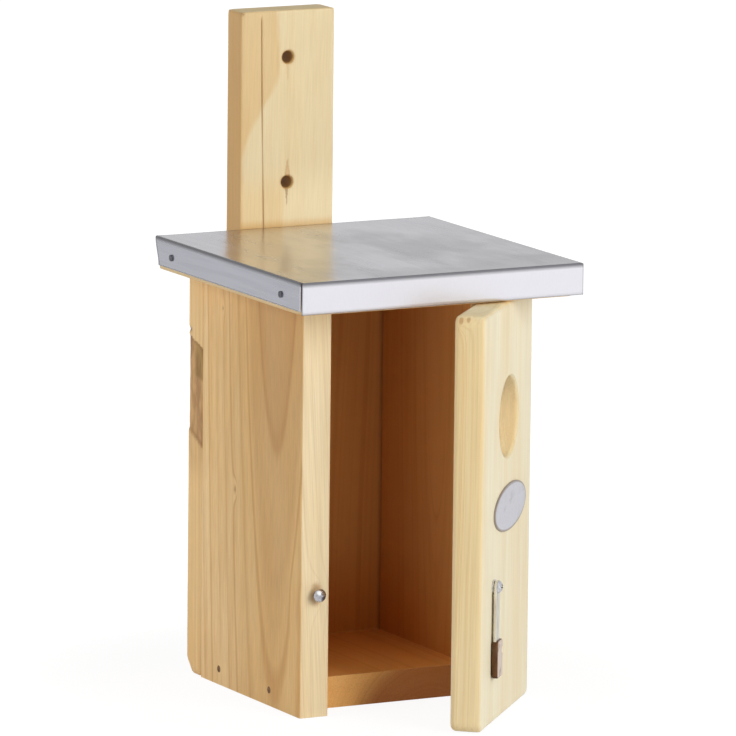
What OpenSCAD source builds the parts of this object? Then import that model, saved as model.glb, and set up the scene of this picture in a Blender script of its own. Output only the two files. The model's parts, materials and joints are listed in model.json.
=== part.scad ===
// Wooden nest box with a side-hung front door, a sheet-metal roof cover and a hanging batten.
// Millimetres. Z is up, the front looks along -Y, and the origin is the middle of the
// box's footprint on its bottom plane. The door is drawn standing open, its latch hanging.

/* [Box] */
// Width over both side walls
box_w = 148; // [130:1:200]
// Depth of the left side wall, from the front edge to the back panel
side_d = 139; // [110:1:200]
// Height of the walls, up to the underside of the roof board
wall_h = 262; // [235:1:340]
// Thickness of the two side walls
wall_t = 20; // [18:0.5:26]
// Thickness of the back panel
back_t = 20; // [16:0.5:26]
// Thickness of the floor board
floor_t = 20; // [14:0.5:30]
// Rounding of the long edges of the planks
edge_r = 1.5; // [0.5:0.1:3]

/* [Broken edge of the back panel] */
// Depth of the place where the panel's left edge has broken out
break_depth = 2.2; // [1:0.1:5]
// Height of its lower end, at the seam
break_low = 147; // [60:1:160]
// Height of its upper end, at the seam
break_high = 209.5; // [180:0.5:225]
// How much higher both ends lie at the panel's rear face
break_slant = 8; // [0:0.5:9]

/* [Roof] */
// Thickness of the roof board
roof_t = 20; // [18:0.5:28]
// Overhang of the roof at each side
side_overhang = 24; // [10:1:50]
// Overhang of the roof over the front
front_overhang = 45; // [20:1:80]
// Gap between the roof and the batten behind it
roof_back_gap = 0.5; // [0.3:0.1:3]
// Thickness of the sheet metal
sheet_t = 0.6; // [0.4:0.1:1]
// Outside radius of the sheet's folds
fold_r = 1; // [0.5:0.1:2]
// Depth of the cover's front flange
front_flange = 20; // [12:0.5:20]
// Depth of the cover's side flanges
side_flange = 18.2; // [16:0.1:20]
// Diameter of the cover nails' heads
cover_nail_head = 4.2; // [3:0.1:6]
// Distance of the front cover nails from the roof's front edge
cover_nail_front = 29; // [15:1:60]
// Distance of the rear cover nails from the roof's rear edge
cover_nail_back = 23; // [15:1:60]
// Depth of the cover nails below the top of the roof
cover_nail_drop = 11; // [8:0.5:13]

/* [Hanging batten] */
// Width of the batten
batten_w = 66; // [50:1:90]
// Thickness of the batten
batten_t = 20; // [16:0.5:26]
// Length of the batten, from the bottom of the box up
batten_l = 421; // [390:1:520]
// How far the batten sits left of the box's middle
batten_left = 5; // [0:1:15]
// Diameter of the two hanging holes
hang_hole_d = 8; // [5:0.5:10]
// Distance of the upper hanging hole from the batten's top end
hang_hole_top = 30; // [20:1:50]
// Distance between the hanging holes
hang_pitch = 80; // [40:1:80]

/* [Door] */
// Thickness of the door
door_t = 20; // [18:0.5:24]
// Gap between the door's free edge and the left wall
free_gap = 2.5; // [2.2:0.1:5]
// Gap between the door's top and the roof board
door_top_gap = 1; // [0.5:0.1:4]
// Height of the door's lower edge above the bottom plane
door_bottom_gap = 0.5; // [0.5:0.1:4]
// Gap between the closed door and the edges it closes against
seat_gap = 0.5; // [0.3:0.1:1.5]
// Rounding of the door's edges
door_edge_r = 3; // [1:0.5:5]
// Rounding of the door's corners, seen from the front
door_corner_r = 5; // [2:0.5:8]
// How far the door stands open, in degrees
door_open = 48; // [0:1:170]
// Diameter of the entrance hole
entrance_d = 51; // [28:1:56]
// Height of the entrance hole's centre above the bottom plane
entrance_h = 188.8; // [176:0.1:200]
// How far the entrance hole sits from the door's middle, towards the hinges
entrance_shift = 1.5; // [-5:0.5:5]

/* [Plate on the door] */
// Width of the oval plate
plate_w = 81; // [40:1:90]
// Height of the oval plate
plate_h = 29.5; // [20:0.5:34]
// Thickness of the oval plate
plate_t = 1.2; // [0.5:0.1:2]
// Height of the plate's centre above the bottom plane
plate_z = 131.8; // [124:0.1:138]
// How far the plate sits from the door's middle, towards the hinges
plate_shift = 4.5; // [-5:0.5:6]

/* [Latch] */
// Distance of the latch's pivot from the door's free edge
pivot_in = 28.5; // [22:0.5:36]
// Height of the latch's pivot above the bottom plane
pivot_z = 88; // [82:0.5:96]
// Distance of the catch screw from the left wall's outer face
catch_in = 10.7; // [8:0.1:12]
// Height of the catch screw above the bottom plane
catch_z = 78; // [72:0.5:80]
// Width of the latch arm
arm_w = 8; // [6:0.5:9]
// Thickness of the latch arm
arm_t = 2; // [1.5:0.1:2.5]
// Length of the arm below the pivot
arm_l = 54; // [50:0.5:60]
// Width of the grip
grip_w = 13; // [11:0.5:16]
// Length of the grip
grip_l = 24; // [20:0.5:28]
// Wall of the grip behind the arm
grip_back = 0.9; // [0.6:0.1:1]
// Wall of the grip in front of the arm
grip_front = 1.5; // [0.8:0.1:2.5]
// Material of the grip below the arm's end
grip_end = 3.5; // [2:0.5:6]
// How far the grip sits beside the arm's middle, towards the hinges
grip_shift = 1.6; // [0:0.1:2]
// Rounding of the grip's corners
grip_r = 2.5; // [1:0.1:2.8]
// Thickness of the washer behind the arm
washer_t = 1.2; // [1:0.1:2]
// Diameter of the washer
washer_d = 9; // [8:0.1:10]

/* [Screws and nails] */
// Diameter of the latch screws
latch_screw_d = 4; // [3:0.1:4.5]
// Diameter of the latch screws' heads
latch_head_d = 8.4; // [7:0.1:9]
// Height of the latch screws' heads
latch_head_h = 2.6; // [2:0.1:3.5]
// Depth of the latch screws in the wood
latch_screw_in = 16; // [10:0.5:17]
// Diameter of the hinge screws
hinge_screw_d = 3; // [2.5:0.1:3.5]
// Diameter of the hinge screws' countersunk heads
hinge_head_d = 5.8; // [5:0.1:6.5]
// Length of the hinge screws
hinge_screw_l = 14; // [10:0.5:16]
// Diameter of the batten screws
batten_screw_d = 4; // [3:0.1:5]
// Diameter of the batten screws' countersunk heads
batten_head_d = 8; // [7:0.1:9]
// Length of the batten screws
batten_screw_l = 35; // [30:1:38]
// Number of batten screws
batten_screws = 3; // [2:1:5]
// Diameter of the nails
nail_d = 2.2; // [1.6:0.1:2.8]
// Diameter of the nails' heads
nail_head_d = 4.4; // [3.6:0.1:5.4]
// Thickness of the nails' heads
nail_head_t = 0.8; // [0.5:0.1:1.2]
// Length of the nails that join the planks
nail_l = 45; // [35:1:50]
// Length of the cover nails
cover_nail_l = 20; // [12:1:30]
// Number of nails along each joint of a wall
joint_nails = 3; // [2:1:5]

/* [Hinges] */
// Height of a hinge
hinge_h = 40; // [30:1:60]
// Width of a leaf, from the pin's axis
leaf_w = 15; // [13:0.5:18]
// Thickness of a leaf
leaf_t = 1.2; // [0.8:0.1:1.5]
// Diameter of the hinge pins
hinge_pin_d = 2.5; // [2:0.1:3]
// Thickness of the knuckles' walls
knuckle_wall = 1.5; // [1:0.1:2]
// Knuckles on one hinge
knuckles = 5; // [3:2:7]
// Height of the upper hinge's middle below the top of the walls
upper_hinge_drop = 45; // [35:1:60]
// Height of the lower hinge's middle above the bottom plane
lower_hinge_z = 45; // [35:1:60]

/* [Hidden] */

$fn = 48;
eps = 0.01;
// Clearance around every screw and nail in its hole
hole_gap = 0.05;
// Running clearance of the hinge pins and of the latch arm on its screw
run_gap = 0.06;
// Gap between the latch's moving pieces and what they lie against
slide_gap = 0.1;
// Gap between the catch screw's neck and the notch of the grip
notch_gap = 0.35;
// Gap between a hinge's knuckles
knuckle_gap = 0.3;
// Gap between the knuckles and the wood beside them
knuckle_clear = 0.3;
// Length of the point of a screw or nail
point_l = 3;
// Width of the slots of a cross recess
cross_t = 0.9;

pine = [0.87, 0.74, 0.53];
pine_pale = [0.91, 0.84, 0.70];
pine_dark = [0.70, 0.50, 0.30];
zinc = [0.74, 0.74, 0.77];
steel = [0.60, 0.61, 0.63];

left_x = -box_w / 2;
right_x = box_w / 2;
front_y = -(side_d + back_t) / 2;
seam_y = front_y + side_d;
back_y = seam_y + back_t;
// The right wall and the floor stand back, so that the door closes in front of them
seat_y = front_y + door_t + seat_gap;
inner_left_x = left_x + wall_t;
inner_right_x = right_x - wall_t;

door_free_x = inner_left_x + free_gap;
door_w = right_x - door_free_x;
door_h = wall_h - door_top_gap - door_bottom_gap;
door_mid_x = door_free_x + door_w / 2;

roof_z = wall_h + roof_t;
roof_top = roof_z + sheet_t;
roof_x = right_x + side_overhang;
roof_front_y = front_y - front_overhang;
roof_back_y = back_y - roof_back_gap;
cover_nail_z = roof_top - cover_nail_drop;
cover_nail_ys = [roof_front_y + cover_nail_front, roof_back_y - cover_nail_back];

batten_x = -batten_left;
hang_z = batten_l - hang_hole_top;

knuckle_r = hinge_pin_d / 2 + knuckle_wall;
hinge_x = right_x + knuckle_r + knuckle_clear;
hinge_y = front_y + door_t;
hinge_zs = [wall_h - upper_hinge_drop, lower_hinge_z];
leaf_start = knuckle_r + knuckle_clear;
leaf_screw_y = (leaf_start + leaf_w) / 2;
leaf_screw_z = hinge_h * 0.3;
knuckle_l = hinge_h / knuckles;
// Where the outer face of a leaf lies, measured back from the pin's axis
leaf_face = hinge_x - right_x - leaf_t;

pivot_x = door_free_x + pivot_in;
catch_x = left_x + catch_in;
// The arm's front and rear faces, and the grip's, measured out from the door's face
arm_n0 = washer_t + slide_gap;
arm_n1 = arm_n0 + arm_t;
grip_n0 = arm_n0 - grip_back;
grip_n1 = arm_n1 + grip_front;
pivot_neck = arm_n1 + slide_gap;
catch_neck = grip_n1 + 5 * slide_gap;
// The notch lies as far from the pivot as the catch screw does
notch_side = grip_shift + grip_w / 2;
latch_reach = norm([pivot_x - catch_x, pivot_z - catch_z]);
notch_down = sqrt(latch_reach * latch_reach - notch_side * notch_side);
notch_r = latch_screw_d / 2 + notch_gap;

wall_mid = wall_t / 2;
side_mids = [left_x + wall_mid, right_x - wall_mid];
floor_mid = floor_t / 2;
function spread(low, high, count, i) = low + (high - low) * i / (count - 1);
function joint_y(i) = spread(seat_y + side_d * 0.15, seam_y - side_d * 0.1, joint_nails, i);
function joint_z(i) = spread(wall_h * 0.12, wall_h * 0.88, joint_nails, i);
function batten_screw_z(i) = spread(wall_h * 0.23, wall_h * 0.92, batten_screws, i);
floor_nail_ys = [front_y + side_d * 0.306, front_y + side_d * 0.81];
floor_nail_xs = [-box_w * 0.14, box_w * 0.14];

// Rectangle with round corners, its lower left corner at the origin
module round_rect(w, d, r) {
    translate([r, 0]) square([w - 2 * r, d]);
    translate([0, r]) square([w, d - 2 * r]);
    for (x = [r, w - r], y = [r, d - r])
        translate([x, y]) circle(r);
}

// Upright plank with its long edges rounded
module plank(x0, y0, x1, y1, z0, z1, r = edge_r) {
    translate([x0, y0, z0])
        linear_extrude(z1 - z0) round_rect(x1 - x0, y1 - y0, r);
}

// Block with every edge rounded: round_r in plan and from the side, corner_r from the front
module eased_board(w, d, h, round_r, corner_r) {
    intersection() {
        linear_extrude(h) round_rect(w, d, round_r);
        translate([0, d, 0]) rotate([90, 0, 0]) linear_extrude(d) round_rect(w, h, corner_r);
        rotate([90, 0, 90]) linear_extrude(w) round_rect(d, h, round_r);
    }
}

// Cross recess, cut down from z = 0
module cross_recess(size, depth) {
    for (turn = [0, 90])
        rotate(turn) translate([-size / 2, -cross_t / 2, -depth])
            cube([size, cross_t, depth + eps]);
}

// Countersunk screw along -Z, its flat head in the plane z = 0
module flat_screw(d, head_d, length) {
    head_h = (head_d - d) / 2;
    difference() {
        rotate_extrude()
            polygon([[0, 0], [head_d / 2, 0], [d / 2, -head_h], [d / 2, point_l - length], [0, -length]]);
        cross_recess(head_d / 2, head_h / 2);
    }
}

// Hole for a countersunk screw, with clearance all round
module flat_screw_hole(d, head_d, length) {
    head_h = (head_d - d) / 2;
    head_r = head_d / 2 + hole_gap;
    r = d / 2 + hole_gap;
    rotate_extrude()
        polygon([[0, 1], [head_r, 1], [head_r, 0], [r, -head_h], [r, -length - hole_gap],
            [0, -length - hole_gap]]);
}

// Round-headed screw along -Z: the wood starts at z = 0 and the neck stands out of it
module round_screw(d, head_d, head_h, neck, length) {
    dome_r = (head_d * head_d / 4 + head_h * head_h) / (2 * head_h);
    difference() {
        union() {
            translate([0, 0, -length + point_l]) cylinder(d = d, h = length - point_l + neck + eps);
            translate([0, 0, -length]) cylinder(d1 = 0.4, d2 = d, h = point_l + eps);
            intersection() {
                translate([0, 0, neck + head_h - dome_r]) sphere(dome_r);
                translate([0, 0, neck]) cylinder(d = head_d, h = head_h);
            }
        }
        translate([0, 0, neck + head_h]) cross_recess(head_d / 2, head_h / 2);
    }
}

// Nail along -Z, the top of its flat head at z = 0
module nail(d, head_d, head_t, length) {
    rotate_extrude()
        polygon([[0, 0], [head_d / 2, 0], [head_d / 2, -head_t], [d / 2, -head_t],
            [d / 2, point_l - length], [0, -length]]);
}

// Hole for a nail, with clearance all round
module nail_hole(d, head_d, head_t, length) {
    translate([0, 0, -length - hole_gap]) cylinder(d = d + 2 * hole_gap, h = length);
    translate([0, 0, -head_t - hole_gap]) cylinder(d = head_d + 2 * hole_gap, h = head_t + 1);
}

module joint_nail() nail(nail_d, nail_head_d, nail_head_t, nail_l);
module joint_nail_hole() nail_hole(nail_d, nail_head_d, nail_head_t, nail_l);

// Places of the nails through a side wall into the floor board
module at_floor_side(side) {
    for (y = floor_nail_ys)
        translate([side * box_w / 2, y, floor_mid]) rotate([0, side * 90, 0]) children();
}

// Places of the nails through the back panel into the floor board
module at_floor_back() {
    for (x = floor_nail_xs)
        translate([x, back_y, floor_mid]) rotate([-90, 0, 0]) children();
}

// Places of the nails through the back panel into one side wall
module at_back_side(x) {
    for (i = [0 : joint_nails - 1])
        translate([x, back_y, joint_z(i)]) rotate([-90, 0, 0]) children();
}

// Places of the nails through the roof board into one side wall
module at_roof_side(x) {
    for (i = [0 : joint_nails - 1])
        translate([x, joint_y(i), roof_z]) children();
}

// Places of the nails through one side flange into the roof board
module at_cover_side(side) {
    for (y = cover_nail_ys)
        translate([side * (roof_x + nail_head_t), y, cover_nail_z]) rotate([0, side * 90, 0]) children();
}

// Places of the screws through the batten into the back panel
module at_batten() {
    for (i = [0 : batten_screws - 1])
        translate([batten_x, back_y + batten_t, batten_screw_z(i)]) rotate([-90, 0, 0]) children();
}

// Places of the screws of a leaf on the outer side of the wall or of the closed door
module at_leaf(side, z) {
    for (dz = [-leaf_screw_z, leaf_screw_z])
        translate([hinge_x - leaf_face, hinge_y + side * leaf_screw_y, z + dz])
            rotate([0, 90, 0]) children();
}

// The closed door's frame turned to where the door stands
module on_door() {
    translate([hinge_x, hinge_y, 0]) rotate(door_open) translate([-hinge_x, -hinge_y, 0]) children();
}

// Places on the closed door's outer face, with Z pointing out of the face
module at_door_face(x, z) {
    translate([x, front_y, z]) rotate([90, 0, 0]) children();
}

module left_wall() {
    color(pine) difference() {
        plank(left_x, front_y, inner_left_x, seam_y, 0, wall_h);
        at_floor_side(-1) joint_nail_hole();
        at_back_side(side_mids[0]) joint_nail_hole();
        at_roof_side(side_mids[0]) joint_nail_hole();
        translate([catch_x, front_y, catch_z]) rotate([90, 0, 0])
            nail_hole(latch_screw_d, latch_screw_d, 0, latch_screw_in);
    }
}

module right_wall() {
    color(pine_dark) difference() {
        plank(inner_right_x, seat_y, right_x, seam_y, 0, wall_h);
        at_floor_side(1) joint_nail_hole();
        at_back_side(side_mids[1]) joint_nail_hole();
        at_roof_side(side_mids[1]) joint_nail_hole();
        for (z = hinge_zs)
            at_leaf(1, z) flat_screw_hole(hinge_screw_d, hinge_head_d, hinge_screw_l);
    }
}

module back_panel() {
    color(pine) difference() {
        plank(left_x, seam_y, right_x, back_y, 0, wall_h);
        translate([left_x - 1, 0, 0]) rotate([90, 0, 90]) linear_extrude(break_depth + 1)
            polygon([[seam_y - 1, break_low], [seam_y - 1, break_high], [back_y + 1, break_high + break_slant],
                [back_y + 1, break_low + break_slant]]);
        at_floor_back() joint_nail_hole();
        for (x = side_mids) at_back_side(x) joint_nail_hole();
        at_batten() flat_screw_hole(batten_screw_d, batten_head_d, batten_screw_l);
    }
}

module floor_board() {
    color(pine_dark) difference() {
        translate([inner_left_x, seat_y, 0])
            cube([inner_right_x - inner_left_x, seam_y - seat_y, floor_t]);
        for (side = [-1, 1]) at_floor_side(side) joint_nail_hole();
        at_floor_back() joint_nail_hole();
    }
}

module roof_board() {
    color(pine) difference() {
        translate([-roof_x + sheet_t, roof_front_y + sheet_t, wall_h])
            cube([2 * (roof_x - sheet_t), roof_back_y - roof_front_y - sheet_t, roof_t]);
        for (x = side_mids) at_roof_side(x) joint_nail_hole();
        for (side = [-1, 1])
            at_cover_side(side) nail_hole(nail_d, nail_d, nail_head_t, cover_nail_l);
    }
}

// Sheet folded down over the roof board at the front and at both sides
module roof_cover() {
    depth = roof_back_y - roof_front_y;
    reach = fold_r + 2 * roof_t;
    color(zinc) difference() {
        intersection() {
            translate([-roof_x, roof_back_y, roof_top - reach]) rotate([90, 0, 0])
                linear_extrude(depth) round_rect(2 * roof_x, reach, fold_r);
            translate([-roof_x, roof_front_y, roof_top - reach]) rotate([90, 0, 90])
                linear_extrude(2 * roof_x) round_rect(depth + 2 * fold_r, reach, fold_r);
            union() {
                translate([-roof_x, roof_front_y, roof_top - front_flange])
                    cube([2 * roof_x, sheet_t, front_flange]);
                translate([-roof_x, roof_front_y, roof_top - side_flange])
                    cube([2 * roof_x, depth, side_flange]);
            }
        }
        translate([-roof_x + sheet_t, roof_front_y + sheet_t, wall_h - 1])
            cube([2 * (roof_x - sheet_t), depth, roof_t + 1]);
        for (side = [-1, 1])
            at_cover_side(side) nail_hole(nail_d, nail_d, nail_head_t, cover_nail_l);
    }
}

module hanging_batten() {
    color(pine_pale) difference() {
        plank(batten_x - batten_w / 2, back_y, batten_x + batten_w / 2, back_y + batten_t, 0, batten_l);
        for (z = [hang_z, hang_z - hang_pitch])
            translate([batten_x, back_y - 1, z]) rotate([-90, 0, 0])
                cylinder(d = hang_hole_d, h = batten_t + 2);
        at_batten() flat_screw_hole(batten_screw_d, batten_head_d, batten_screw_l);
    }
}

module door_board() {
    color(pine_pale) on_door() difference() {
        translate([door_free_x, front_y, door_bottom_gap])
            eased_board(door_w, door_t, door_h, door_edge_r, door_corner_r);
        at_door_face(door_mid_x + entrance_shift, entrance_h)
            translate([0, 0, -door_t - 1]) cylinder(d = entrance_d, h = door_t + 2, $fn = 96);
        at_door_face(pivot_x, pivot_z)
            nail_hole(latch_screw_d, latch_screw_d, 0, latch_screw_in);
        for (z = hinge_zs)
            at_leaf(-1, z) flat_screw_hole(hinge_screw_d, hinge_head_d, hinge_screw_l);
    }
}

// Plain oval plate, stuck to the door below the entrance hole
module oval_plate() {
    points = 90;
    color(zinc) on_door() at_door_face(door_mid_x + plate_shift, plate_z)
        linear_extrude(plate_t)
            polygon([for (i = [0 : points - 1]) [plate_w / 2 * cos(360 * i / points),
                plate_h / 2 * sin(360 * i / points)]]);
}

// Flat strip that hangs from its pivot screw
module latch_arm() {
    color(steel) on_door() at_door_face(pivot_x, pivot_z) translate([0, 0, arm_n0])
        difference() {
            union() {
                cylinder(d = arm_w, h = arm_t);
                translate([-arm_w / 2, -arm_l, 0]) cube([arm_w, arm_l, arm_t]);
            }
            translate([0, 0, -1]) cylinder(d = latch_screw_d + 2 * run_gap, h = arm_t + 2);
        }
}

// Moulded grip over the arm's lower end, with a notch that drops over the catch screw's neck
module latch_grip() {
    low = arm_l + grip_end;
    color([0.30, 0.17, 0.08]) on_door() at_door_face(pivot_x, pivot_z)
        difference() {
            translate([grip_shift - grip_w / 2, -low, grip_n0])
                linear_extrude(grip_n1 - grip_n0) round_rect(grip_w, grip_l, grip_r);
            translate([-arm_w / 2 - hole_gap, -arm_l - hole_gap, arm_n0 - hole_gap])
                cube([arm_w + 2 * hole_gap, low, arm_t + 2 * hole_gap]);
            translate([notch_side, -notch_down, 0]) cylinder(r = notch_r, h = 3 * grip_n1);
        }
}

module latch_washer() {
    color(zinc) on_door() at_door_face(pivot_x, pivot_z) difference() {
        cylinder(d = washer_d, h = washer_t);
        translate([0, 0, -1]) cylinder(d = latch_screw_d + 2 * run_gap, h = washer_t + 2);
    }
}

module latch_pivot_screw() {
    color(zinc) on_door() at_door_face(pivot_x, pivot_z)
        round_screw(latch_screw_d, latch_head_d, latch_head_h, pivot_neck, latch_screw_in);
}

module catch_screw() {
    color(zinc) translate([catch_x, front_y, catch_z]) rotate([90, 0, 0])
        round_screw(latch_screw_d, latch_head_d, latch_head_h, catch_neck, latch_screw_in);
}

// One hinge leaf with its knuckles. The wall's leaf has the first, third and fifth knuckle and
// reaches back (side = 1); the door's leaf has the others and reaches forward (side = -1).
module hinge_leaf(side, z) {
    first = side > 0 ? 0 : 1;
    color(zinc) difference() {
        translate([hinge_x, hinge_y, z - hinge_h / 2]) union() {
            translate([-leaf_face - leaf_t, side > 0 ? leaf_start : -leaf_w, 0])
                cube([leaf_t, leaf_w - leaf_start, hinge_h]);
            for (i = [first : 2 : knuckles - 1]) {
                low = i * knuckle_l + knuckle_gap / 2;
                high = (i + 1) * knuckle_l - knuckle_gap / 2;
                translate([0, 0, low]) cylinder(r = knuckle_r, h = high - low);
                translate([-leaf_face - leaf_t, side > 0 ? 0 : -leaf_start - eps, low])
                    cube([leaf_t, leaf_start + eps, high - low]);
            }
        }
        translate([hinge_x, hinge_y, z - hinge_h]) cylinder(r = hinge_pin_d / 2 + run_gap, h = 2 * hinge_h);
        at_leaf(side, z) flat_screw_hole(hinge_screw_d, hinge_head_d, hinge_screw_l);
    }
}

// Pin with a flat head above and below the knuckles
module hinge_pin(z) {
    head_r = hinge_pin_d / 2 + knuckle_wall / 2;
    head_h = 1;
    low = z - hinge_h / 2 - slide_gap;
    high = z + hinge_h / 2 + slide_gap;
    color(steel) translate([hinge_x, hinge_y, 0]) {
        translate([0, 0, low - eps]) cylinder(d = hinge_pin_d, h = high - low + 2 * eps);
        translate([0, 0, low - head_h]) cylinder(r = head_r, h = head_h);
        translate([0, 0, high]) cylinder(r = head_r, h = head_h);
    }
}

module upper_hinge_wall_leaf() hinge_leaf(1, hinge_zs[0]);
module lower_hinge_wall_leaf() hinge_leaf(1, hinge_zs[1]);
module upper_hinge_door_leaf() on_door() hinge_leaf(-1, hinge_zs[0]);
module lower_hinge_door_leaf() on_door() hinge_leaf(-1, hinge_zs[1]);
module upper_hinge_pin() hinge_pin(hinge_zs[0]);
module lower_hinge_pin() hinge_pin(hinge_zs[1]);

module hinge_wall_screws() {
    color(zinc) for (z = hinge_zs)
        at_leaf(1, z) flat_screw(hinge_screw_d, hinge_head_d, hinge_screw_l);
}

module hinge_door_screws() {
    color(zinc) on_door() for (z = hinge_zs)
        at_leaf(-1, z) flat_screw(hinge_screw_d, hinge_head_d, hinge_screw_l);
}

module cover_nails() {
    color(steel) for (side = [-1, 1])
        at_cover_side(side) nail(nail_d, cover_nail_head, nail_head_t, cover_nail_l);
}

module roof_board_nails() {
    color(steel) for (x = side_mids) at_roof_side(x) joint_nail();
}

module back_panel_nails() {
    color(steel) for (x = side_mids) at_back_side(x) joint_nail();
}

module floor_nails() {
    color(steel) {
        for (side = [-1, 1]) at_floor_side(side) joint_nail();
        at_floor_back() joint_nail();
    }
}

module batten_screws_group() {
    color(zinc) at_batten() flat_screw(batten_screw_d, batten_head_d, batten_screw_l);
}

left_wall();
right_wall();
back_panel();
floor_board();
roof_board();
roof_cover();
hanging_batten();
door_board();
oval_plate();
latch_arm();
latch_grip();
latch_washer();
latch_pivot_screw();
catch_screw();
upper_hinge_wall_leaf();
lower_hinge_wall_leaf();
upper_hinge_door_leaf();
lower_hinge_door_leaf();
upper_hinge_pin();
lower_hinge_pin();
hinge_wall_screws();
hinge_door_screws();
cover_nails();
roof_board_nails();
back_panel_nails();
floor_nails();
batten_screws_group();
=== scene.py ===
"""Looks of a wooden nest box with a side-hung door, a sheet-metal roof and a hanging batten.

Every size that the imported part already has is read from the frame. Points are worked out in
millimetres and go into the meshes in metres.
"""

import json
import math

import bpy
import numpy as np
from bpy.props import FloatProperty, FloatVectorProperty, PointerProperty
from bpy.types import Operator, Panel, PropertyGroup
from mathutils import Matrix, Vector


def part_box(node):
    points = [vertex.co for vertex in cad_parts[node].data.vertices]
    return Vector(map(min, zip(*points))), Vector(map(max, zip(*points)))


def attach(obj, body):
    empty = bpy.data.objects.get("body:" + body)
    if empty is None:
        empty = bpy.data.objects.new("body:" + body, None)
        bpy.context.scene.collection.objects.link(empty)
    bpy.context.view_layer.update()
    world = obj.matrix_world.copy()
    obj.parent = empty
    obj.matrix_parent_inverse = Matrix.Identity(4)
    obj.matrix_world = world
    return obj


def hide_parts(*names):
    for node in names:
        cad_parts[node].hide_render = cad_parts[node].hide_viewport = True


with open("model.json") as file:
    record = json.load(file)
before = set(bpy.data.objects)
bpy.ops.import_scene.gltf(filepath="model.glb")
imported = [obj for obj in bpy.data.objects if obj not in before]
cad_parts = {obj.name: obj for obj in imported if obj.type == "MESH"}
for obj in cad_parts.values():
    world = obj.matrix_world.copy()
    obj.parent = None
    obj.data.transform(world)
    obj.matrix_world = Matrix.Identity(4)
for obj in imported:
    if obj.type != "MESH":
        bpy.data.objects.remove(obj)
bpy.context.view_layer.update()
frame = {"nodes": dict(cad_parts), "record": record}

bl_info = {
    "name": "Nest box",
    "version": (1, 0, 0),
    "blender": (4, 5, 0),
    "location": "3D View > Sidebar > Nest box",
    "description": "Boards, sheet roof, latch, fasteners and stage for the packed nest box",
    "category": "Object",
}

MM = 0.001
MOUNTS = {mount["name"]: mount for mount in frame["record"]["mounts"]}
X, Y, Z = np.eye(3)


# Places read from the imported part


class Lay:
    """A board's own axes: a across its outer face, b along its grain or height, n out of the face.

    A point (a, b, n) lies at origin + a A + b B + n N, where N = A x B, in the row frame.
    """

    def __init__(self, node, a_axis, b_axis):
        self.axes = np.array([a_axis, b_axis, np.cross(a_axis, b_axis)])
        mesh = frame["nodes"][node].data
        co = np.zeros(len(mesh.vertices) * 3, np.float32)
        mesh.vertices.foreach_get("co", co)
        along = co.reshape(-1, 3) / MM @ self.axes.T
        low, high = along.min(0), along.max(0)
        self.size = high - low
        self.origin = np.array([low[0], low[1], high[2]]) @ self.axes

    def place(self, points):
        """The row-frame points of (a, b, n), in mm."""
        return self.origin + points @ self.axes

    def local(self, point_m):
        """The (a, b, n) of a row-frame point in metres."""
        return self.axes @ (np.array(point_m) / MM - self.origin)


DOOR_OUT = np.array(MOUNTS["entrance_hole"]["axis"])
DOOR_OUT = DOOR_OUT / np.linalg.norm(DOOR_OUT)
DOOR_ACROSS = np.cross(Z, DOOR_OUT)


# Grids and meshes


def ripple(points, size, seed, waves=14):
    """Smooth random field near -1 to 1: the scaled sum of sines of random direction and phase."""
    rng = np.random.default_rng(seed)
    turn = rng.normal(size=(waves, 3))
    turn /= np.linalg.norm(turn, axis=1)[:, None]
    pitch = size * rng.uniform(0.6, 1.7, waves)
    phase = rng.uniform(0, 2 * np.pi, waves)
    field = np.sin(2 * np.pi * (points @ turn.T) / pitch + phase).sum(1)
    return field / math.sqrt(waves / 2) / 1.6


def smooth(value, low, high):
    """0 below low, 1 above high, with the cubic 3t^2 - 2t^3 in between."""
    t = np.clip((value - low) / (high - low), 0, 1)
    return t * t * (3 - 2 * t)


def bell(value, middle, width):
    """1 at the middle, falling as exp(-s^2), s being the distance from it over the width."""
    return np.exp(-((value - middle) / width) ** 2)


def grid_lines(low, high, step, fixed=()):
    """Rising positions from low to high, at most a step apart, that pass through the fixed ones."""
    runs, now = [], low
    for group in sorted((np.atleast_1d(g) for g in fixed), key=lambda g: g[0]):
        count = max(1, math.ceil((group[0] - now) / step))
        runs += [np.linspace(now, group[0], count, endpoint=False), group[:-1]]
        now = group[-1]
    runs.append(np.linspace(now, high, max(1, math.ceil((high - now) / step)) + 1))
    return np.concatenate(runs)


def grid_quads(index):
    """The quads of a grid of point numbers, turned from the first axis to the second."""
    return np.stack([index[:-1, :-1], index[1:, :-1], index[1:, 1:], index[:-1, 1:]], -1).reshape(-1, 4)


def grid_border(index):
    """The point numbers around a grid, in one loop."""
    return np.concatenate([index[:-1, 0], index[-1, :-1], index[:0:-1, -1], index[0, :0:-1]])


# What a point in a bore is marked with; it also lets a little wear reach it
BORE_MARK = 0.3


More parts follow.
